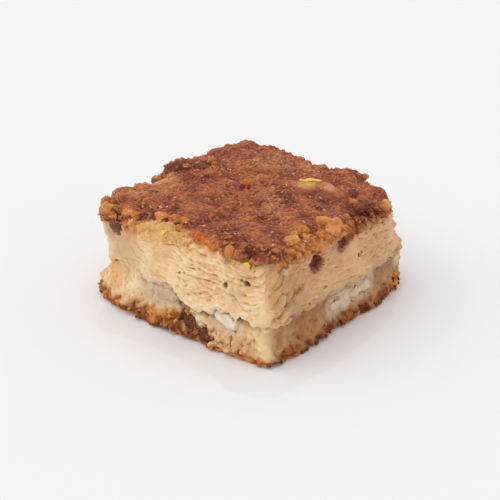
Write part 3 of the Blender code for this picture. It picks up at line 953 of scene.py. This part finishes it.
# Where the real block bulges or is dented: the place, its reach and how far it goes which way.
BULGES = (
    (-39, -14, 34, 7, (0.3, 0, -0.6)), (-39, -9, 35, 4, (0.6, 0, -3.8)),
    (-40, 42, 34, 7, (0.3, -0.3, -0.8)), (-39, -34, 35, 5, (0.6, 0.3, -1.4)),
    (-41, 31, 34, 10, (0.3, 0, -1.4)), (-28, 43, 34, 5, (0, -0.2, -0.9)), (-9, 41, 34, 8, (0, -0.3, -1)),
    (3, 42, 34, 8, (0, -0.3, -1.5)), (13, 43, 34, 5, (0, 0.2, 1.7)), (25, 43, 32, 3, (0, -0.6, -1.5)),
    (37, 35, 28, 6, (-1.3, -0.7, -0.1)), (42, 40, 11, 6, (0.5, 0.5, 0)), (39, 36, 18, 6, (-0.8, -0.6, 0)),
    (-40, -40, 34, 5, (1.6, 1.4, -2.2)), (-42, -39, 25, 4, (-1.9, -0.2, 0)),
    (-43, -38, 13, 4.5, (-3, 0, 0)), (-39.5, -35.5, 6.5, 3.2, (-2, -1.5, 0)),
    (-38.5, -34.5, 20.5, 2.2, (-0.9, -0.7, 0)), (43, -41, 2, 4, (1.7, -1, 0)),
    (44, -35, 1, 4, (1.6, 0, 0)), (-25, -45, 1, 9, (0, -0.5, 0)), (-6, -46, 1, 6, (0, -0.5, 0)),
    (14, -46, 1, 4, (0, 0.9, 0.3)), (25, -46, 1, 3, (0, 1.3, 0.2)), (44, -7, 1, 4, (-1, 0, 0.5)),
    (44, 6, 1, 4, (-0.7, 0, 0.4)), (44, 15, 1, 5, (0.9, 0, 0)), (44, 29, 3, 4, (-1.1, 0, 0)),
    (44, 40, 4, 6, (-1.3, -1.3, 0)),
)


def block_shape(place, facing):
    """Where a point of the block's skin moves to, and its masks."""
    x, y, z = place
    depth = top_over(x, y) - z
    level = z - seam_under(x, y)
    knit = joined(x, y, facing)
    level += (0.35 * swell(x, y, z, 3) + 0.25 * swell(x, y, z, 1.4)) * ease(facing.z, 0.9, 0.6)
    gone = bare(x, y)
    stray = 0.8 * swell(x, y, z, 3.4) + 0.45 * swell(x + 9, y, z, 1.7)
    cover = hang(x, y) + stray - depth + 3 * ease(facing.z, 0.6, 0.9)
    crusted = ease(cover, -0.35, 0.35) * (1 - gone)
    creamy = (1 - crusted) * ease(level, -0.35, 0.35)
    bready = (1 - crusted) * (1 - ease(level, -0.35, 0.35))
    out = down = rim = lump = tone = hole = near = foot = glassy = soft = 0
    # How far the point faces the front and the right; the finishes paint shade on the right face.
    front, side = sides(facing)
    if level > 5:
        lump, tone = lump_at(rim_tree, rim_lumps, place)
    if crusted:
        height, rim = crust_relief(x, y, z, facing)
        out += crusted * height
    broken = gone * ease(depth, 7.5, 3.5)
    if creamy:
        height, down, hole, near = custard_relief(x, y, z, facing, level, knit)
        out += creamy * height
        lumps = (0.9 + broken) * (knobs(x, y, z, 2.6, 0.66) - 0.35)
        out += creamy * max(broken, ease(depth, 5, 2)) * lumps * (1 - near)
        out -= creamy * (1 - gone) * 1.1 * ease(cover, -1.8, -0.4) * ease(abs(x - 28), 14, 9) * front
        glassy = creamy * side * ease(level, 4, 0) * ease(y, -36, -28)
        down *= creamy
    if bready:
        height, foot, glass, soft, drip = bread_relief(x, y, z, facing, level, knit)
        glassy = max(glassy, glass)
        out += bready * height
        near = max(near, drip)
        lump, tone = lump_at(foot_tree, foot_lumps, place)
    slope = ease(broken_front(x, y) + 0.5, 0, 7) * ease(abs(x - 0.5), 18, 12)
    down += 3.8 * slope * ease(depth, 9, 1)
    moved = place + facing * out - Vector((0, 0, down))
    square = ease((x + 44) / 88 - (y + 46) / 92, 0.72, 1) * ease(z, 9, 1)
    moved -= Vector((x, y, 0)).normalized() * 2.6 * square
    for *middle, reach, shift in BULGES:
        away = (place - Vector(middle)).length
        if away < 2 * reach:
            moved += Vector(shift) * bump(away, 0, 0, 0, reach)
    moved.z = max(0.02, moved.z)
    brink = max(ease(cover, -2.6, -0.4), broken * ease(broken_front(x, y), 3, 0.5))
    gilt = max(0.5 * ease(depth + swell(x, y, z, 4), 6, 2), brink)
    return moved, (
        crusted, level, rim, lump, tone, ease(hole, 0.15, 0.8), gilt, near, foot, glassy, soft, side
    )


def bed(piece, inclusion, reach, spread, halo):
    """Presses the skin to just inside an inclusion where it lies over it by less than reach.

    Skin within spread of the inclusion gets its share of halo, and the inclusion gets the mask of
    its own edge.
    """
    tree = tree_of(inclusion)
    corners = [vertex.co for vertex in inclusion.data.vertices]
    near = [(min(line) - 3 * MM, max(line) + 3 * MM) for line in zip(*corners)]
    places = [(vertex.co.copy(), vertex.normal.copy()) for vertex in piece.data.vertices]
    covers = []
    for index, (place, outwards) in enumerate(places):
        if all(low < axis < high for axis, (low, high) in zip(place, near)):
            spot, facing, _, _ = tree.find_nearest(place)
            over = (place - spot).dot(facing) / MM
            if facing.dot(outwards) > -0.5:
                halo[index] = max(halo[index], ease(over, spread, 0.4))
            if facing.dot(outwards) > 0.1:
                open_to = reach + 0.8 * swell(*(place / MM), 1.8)
                sunk = place.lerp(spot - facing * 0.35 * MM, ease(over, open_to + 0.9, open_to))
                places[index] = (sunk, outwards)
                if over > open_to + 0.5:
                    covers.append(place)
    piece.data.vertices.foreach_set("co", [axis for place, _ in places for axis in place])
    piece.data.update()
    cover_tree = points_tree(covers)
    edges = [ease(cover_tree.find(corner)[2] / MM, 2.6, 0.5) if covers else 0 for corner in corners]
    keep(inclusion, "edge", edges)


def hollows(piece, strokes):
    """How far each vertex lies under the piece's own surface, smoothed by that many strokes."""
    smooth = placed("smooth", piece.data.copy())
    apply(smooth, "SMOOTH", iterations=strokes)
    pairs = zip(piece.data.vertices, smooth.data.vertices)
    deep = [(after.co - before.co).dot(before.normal) / MM for before, after in pairs]
    bpy.data.objects.remove(smooth)
    return deep


carve(block, block_shape, MASKS)
stained = [0.0] * len(block.data.vertices)
juicy = list(stained)
for inclusion, reach, spread in set_in:
    bed(block, inclusion, reach, spread, stained if inclusion.name.startswith("raisin") else juicy)
keep(block, "stained", stained)
keep(block, "juicy", juicy)
# The finishes darken these hollows as painted shade, and lighten the ridges as painted highlights.
keep(block, "crease", hollows(block, 8))
keep(block, "dip", hollows(block, 60))


def cut_out(name, kept):
    """One closed piece of the block: the faces that pass the test, with a lid inside it."""
    piece = placed(name, block.data.copy())
    shell = bmesh.new()
    shell.from_mesh(piece.data)
    crusted = shell.verts.layers.float["baked"]
    level = shell.verts.layers.float["level"]
    lost = []
    for face in shell.faces:
        corners = face.verts
        is_crust = sum(corner[crusted] for corner in corners) > 0.5 * len(corners)
        is_custard = sum(corner[level] for corner in corners) > 0
        if kept != ("crust" if is_crust else "custard" if is_custard else "bread"):
            lost.append(face)
    bmesh.ops.delete(shell, geom=lost, context="FACES")
    rims = [edge for edge in shell.edges if edge.is_boundary]
    lids = bmesh.ops.holes_fill(shell, edges=rims)["faces"]
    for hub in bmesh.ops.poke(shell, faces=lids)["verts"]:
        hub.co.z -= 2 * MM
    shell.to_mesh(piece.data)
    shell.free()
    return piece


crust = cut_out("custard_crust", "crust")
custard = cut_out("custard_crumb", "custard")
bread = cut_out("soaked_bread_base", "bread")
baked.dress(crust, "custard_crumb", "custard_layer")
cream.dress(custard, "custard_crumb", "custard_layer")
soaked.dress(bread, "soaked_bread", "bread_base")

# Crumbs: small hard crumbs that browned on the tin, baked on to the foot all round. One crumb is
# modelled, and each copy is bent and turned in its own way.
CRUMBS = 240
luck = random.Random(11)
foot_places = [
    (vertex.co / MM, vertex.normal.copy())
    for vertex in bread.data.vertices
    if 0.4 * MM < vertex.co.z < 7 * MM and abs(vertex.normal.z) < 0.85
]
crumb_spots = []
for place, facing in luck.sample(foot_places, 9000):
    x, y, z = place
    top = foot_height(x, y, facing)
    if luck.random() < 0.6 * ease(z, top, top - 2.5) and len(crumb_spots) < CRUMBS:
        size = 0.8 + luck.random() ** 2
        seat = Vector((x, y, max(z, 0.68 * size))) + facing * (0.05 * size)
        tone = foot_tone(place) - 0.05
        crumb_spots.append(random_lump(luck, seat, size, (0.7, 0.6, 0.95), tone, 0.22))
crumbs = strew("foot_crumbs", crumb_spots, 0.3)

crisp = Finish("toasted_crumb")
tone = crisp.mask("tone")
flecks = crisp.grain(0.5, 2)
crisp.tint = crisp.toast(tone)
crisp.paint(flecks.ease(0.5, 0.7) * 0.4, (0.34, 0.11, 0.028))
crisp.wear(tone.ease(0, 1, 0.35, 0.5), flecks, 0.12)
crisp.fix(0.15, 0.8, (1, 0.5, 0.2), Specular_IOR_Level=0.08)
crisp.dress(crumbs, "soaked_bread")

# Zest: shreds of lemon peel that lay on the top and baked in, each a thin ribbon that follows the
# surface. Two lie in the crust, and three lie at the rim over the front face.
SHREDS = (
    ((5.4, 19.4, 36), (9.6, 22.2, 36), 2.6), ((8, 21.4, 36), (12, 24.6, 36), 1.7),
    ((27.6, -42, 35.2), (29, -42.6, 33.4), 1.2), ((32.6, -43, 33), (33.7, -43, 32.3), 0.8),
    ((-4, -42, 33.8), (-1.6, -42, 34.4), 1.1),
)
skin_tree = tree_of(block)
shreds = []
for start, end, wide in SHREDS:
    bpy.ops.object.select_all(action="DESELECT")
    bpy.ops.mesh.primitive_grid_add(x_subdivisions=9, y_subdivisions=4, size=1)
    shred = bpy.context.object
    first, last = Vector(start), Vector(end)
    seat = skin_tree.find_nearest((first + last) / 2 * MM)[1]
    across = (last - first).cross(seat).normalized()
    for corner in shred.data.vertices:
        along = corner.co.x + 0.5
        taper = wide * (1 - 0.5 * (2 * along - 1) ** 2)
        place = first.lerp(last, along) + across * (corner.co.y + 0.12 * sin(7 * along)) * taper
        spot, facing = skin_tree.find_nearest(place * MM)[:2]
        corner.co = spot + facing * (0.05 + 0.35 * swell(*place, 1.6)) * MM
    apply(shred, "SMOOTH", iterations=2)
    apply(shred, "SOLIDIFY", thickness=0.5 * MM)
    apply(shred, "SUBSURF")
    shreds.append(shred)
pick(*shreds)
bpy.ops.object.join()
bpy.ops.object.mode_set(mode="EDIT")
bpy.ops.mesh.select_all(action="SELECT")
bpy.ops.mesh.normals_make_consistent(inside=False)
bpy.ops.object.mode_set(mode="OBJECT")
bpy.ops.object.shade_smooth()
zest = shreds[0]
zest.name = "zest_shreds"
peel = Finish("lemon_peel")
flecks = peel.grain(1.2)
peel.tint = peel.blend(flecks.ease(0.35, 0.65), (0.8, 0.5, 0.035), (0.88, 0.6, 0.11))
peel.wear(flecks.ease(0.3, 0.7, 0.3, 0.45), flecks, 0.15)
peel.fix(0.2, 0.8)
peel.dress(zest, "custard_crumb")

for spare in (ball, plain, block):
    bpy.data.objects.remove(spare)

size = {"cad": [list(corner) for corner in packed_box]}
size["visual"] = [list(corner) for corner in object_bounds()]
